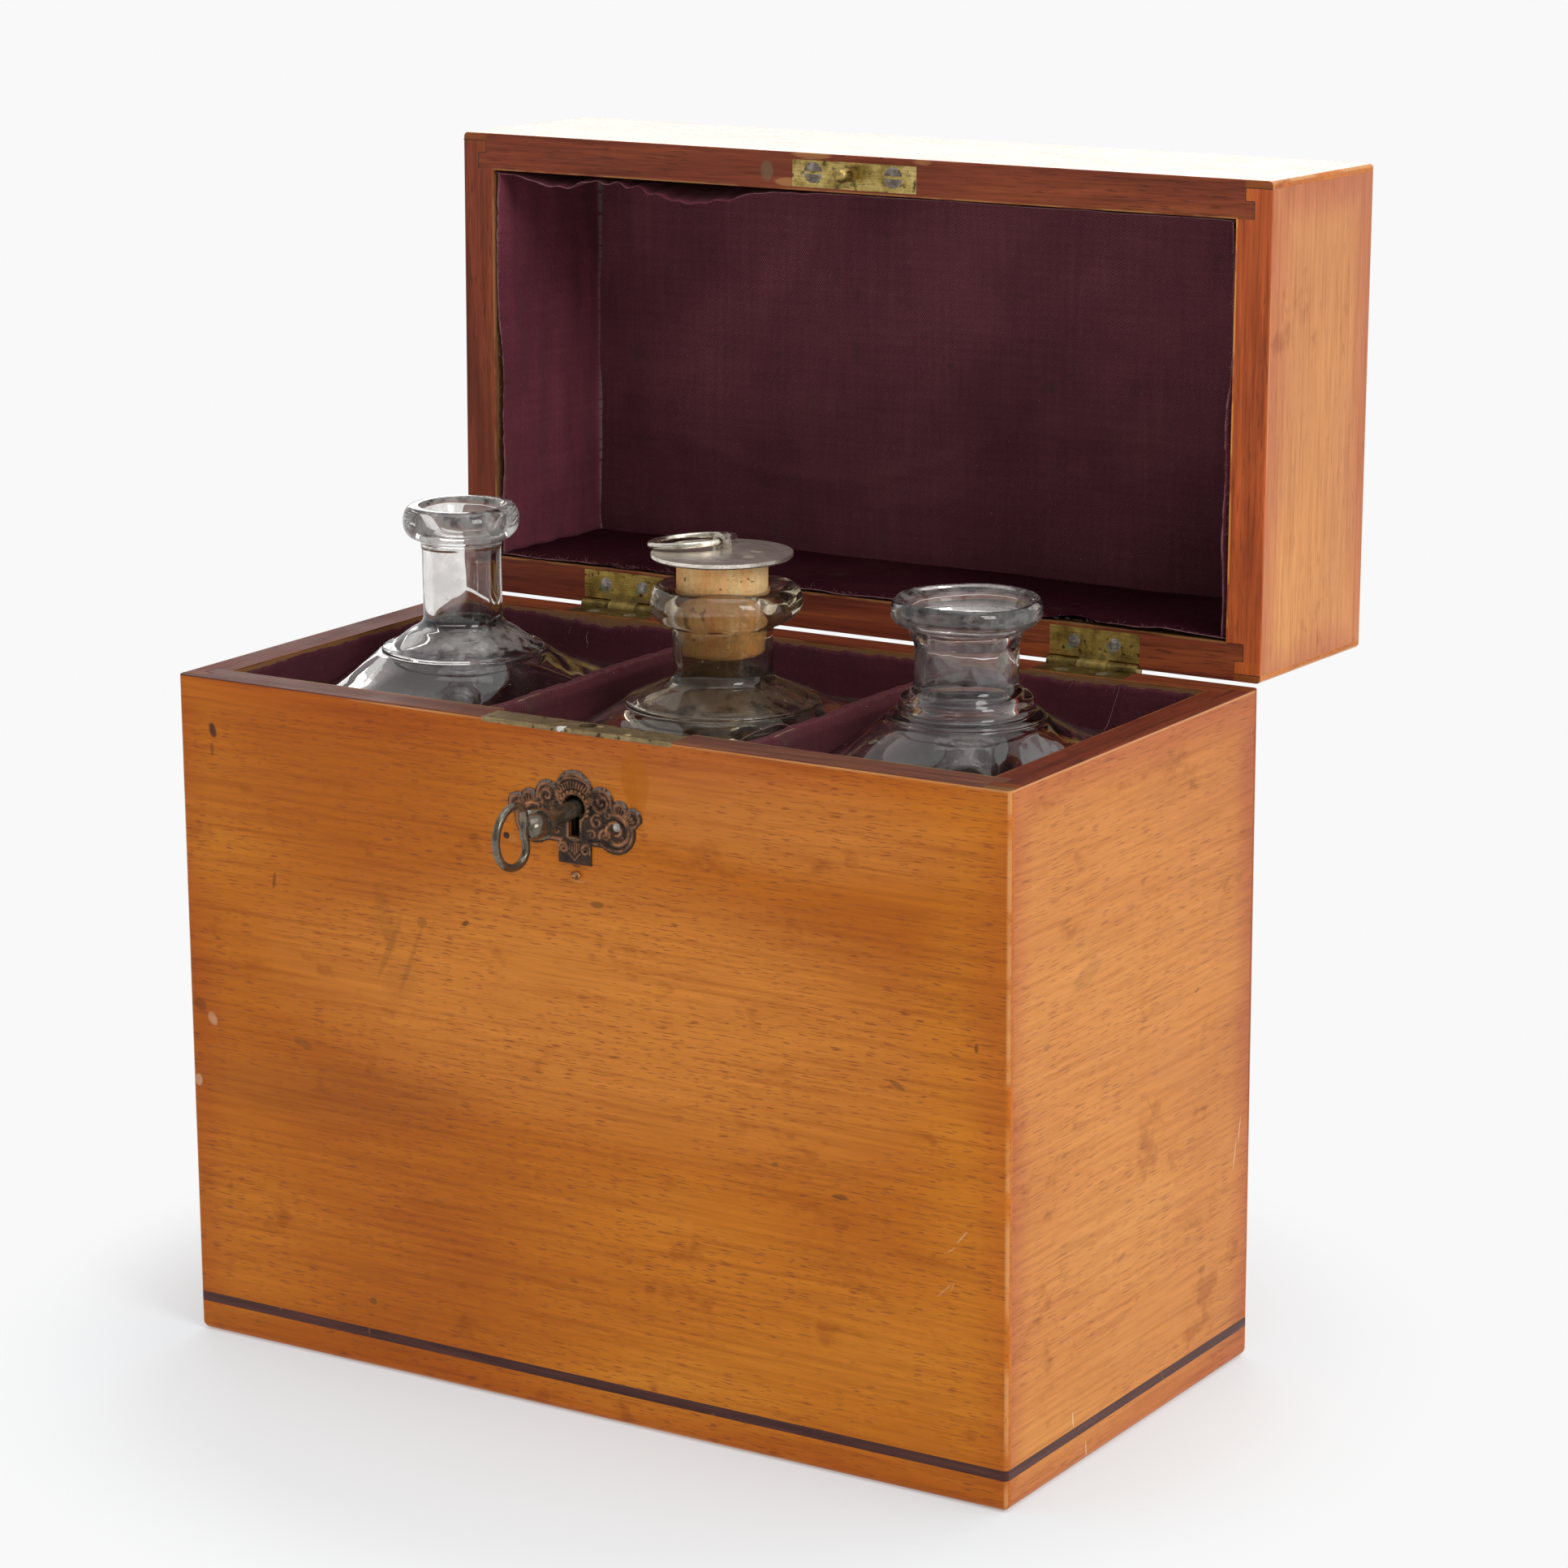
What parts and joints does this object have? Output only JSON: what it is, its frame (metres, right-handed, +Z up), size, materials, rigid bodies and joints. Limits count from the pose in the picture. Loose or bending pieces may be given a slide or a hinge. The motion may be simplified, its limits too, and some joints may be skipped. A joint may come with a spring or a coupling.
{
  "type": "tantalus decanter box",
  "caption": "Wooden case with a hinged lid and a turning key, its cloth-lined compartments holding lift-out glass bottles, one stoppered.",
  "frame": {"origin": "middle of the case's underside", "axes": "+Z up, +X to the right seen from the front, the keyhole faces -Y"},
  "size_m": [0.3, 0.2707, 0.3723],
  "materials": {
    "case_wood": "waxed, worn",
    "dark_wood": "stained, flush",
    "divider_wood": "sawn",
    "cloth": "dull crepe",
    "brass": "dull, tarnished",
    "bronzed_brass": "dark, worn bright on the high points",
    "steel": "dull with polished high points",
    "nickel_silver": "stained",
    "glass": "clear, thick",
    "cork": "raw cork"
  },
  "bodies": {
    "case": {"body_front_board": "case_wood", "body_back_board": "case_wood", "body_left_board": "case_wood", "body_right_board": "case_wood", "bottom_board": "case_wood", "foot_stringing": "dark_wood", "body_lining_front": "cloth", "body_lining_back": "cloth", "body_lining_left": "cloth", "body_lining_right": "cloth", "body_lining_floor": "cloth", "divider_left": "divider_wood", "divider_left_cloth": "cloth", "divider_right": "divider_wood", "divider_right_cloth": "cloth", "hinge_left_body_leaf": "brass", "hinge_right_body_leaf": "brass", "hinge_left_pin": "brass", "hinge_right_pin": "brass", "hinge_nails_body": "steel", "lock_plate": "brass", "lock_cap": "brass", "lock_pins": "steel", "drill_pin": "steel", "bolt_stud": "steel", "bolt_spring": "steel", "escutcheon": "bronzed_brass", "escutcheon_pins": "steel"},
    "lid": {"lid_front_board": "case_wood", "lid_back_board": "case_wood", "lid_left_board": "case_wood", "lid_right_board": "case_wood", "lid_top_board": "case_wood", "lid_lining_front": "cloth", "lid_lining_back": "cloth", "lid_lining_left": "cloth", "lid_lining_right": "cloth", "lid_lining_top": "cloth", "hinge_left_lid_leaf": "brass", "hinge_right_lid_leaf": "brass", "hinge_nails_lid": "steel", "striker_plate": "brass", "striker_screws": "steel", "striker_peg": "brass"},
    "bottle_left": {"bottle_left": "glass"},
    "bottle_middle": {"bottle_middle": "glass"},
    "bottle_right": {"bottle_right": "glass"},
    "stopper": {"stopper_cork": "cork", "stopper_disc": "nickel_silver", "stopper_staple": "nickel_silver"},
    "ring": {"stopper_ring": "nickel_silver"},
    "key": {"key": "steel"},
    "bolt": {"lock_bolt": "brass"}
  },
  "joints": [
    {"name": "lid_hinge", "type": "hinge", "parent": "case", "child": "lid", "pos_m": [0, 0.07785, 0.21735], "axis": [-1, 0, 0], "range_deg": [-91, 0]},
    {"name": "bottle_left_lift", "type": "slide", "parent": "case", "child": "bottle_left", "axis": [0, 0, 1], "range_m": [0, 0.215]},
    {"name": "bottle_middle_lift", "type": "slide", "parent": "case", "child": "bottle_middle", "axis": [0, 0, 1], "range_m": [0, 0.215]},
    {"name": "bottle_right_lift", "type": "slide", "parent": "case", "child": "bottle_right", "axis": [0, 0, 1], "range_m": [0, 0.215]},
    {"name": "stopper_pull", "type": "slide", "parent": "bottle_middle", "child": "stopper", "axis": [0, 0, 1], "range_m": [0, 0.035]},
    {"name": "ring_swing", "type": "hinge", "parent": "stopper", "child": "ring", "pos_m": [0.0038, 0, 0.2615], "axis": [0.2079, 0.9781, 0], "range_deg": [0, 168]},
    {"name": "key_turn", "type": "hinge", "parent": "case", "child": "key", "pos_m": [0.0008, -0.0736, 0.1932], "axis": [0, 0.9978, 0.0663], "range_deg": [-180, 0]},
    {"name": "bolt_slide", "type": "slide", "parent": "case", "child": "bolt", "axis": [1, 0, 0], "range_m": [-0.007, 0]}
  ],
  "couplings": [
    {"joint": "bolt_slide", "follows": "key_turn", "m_per_rad": 0.0022282}
  ]
}
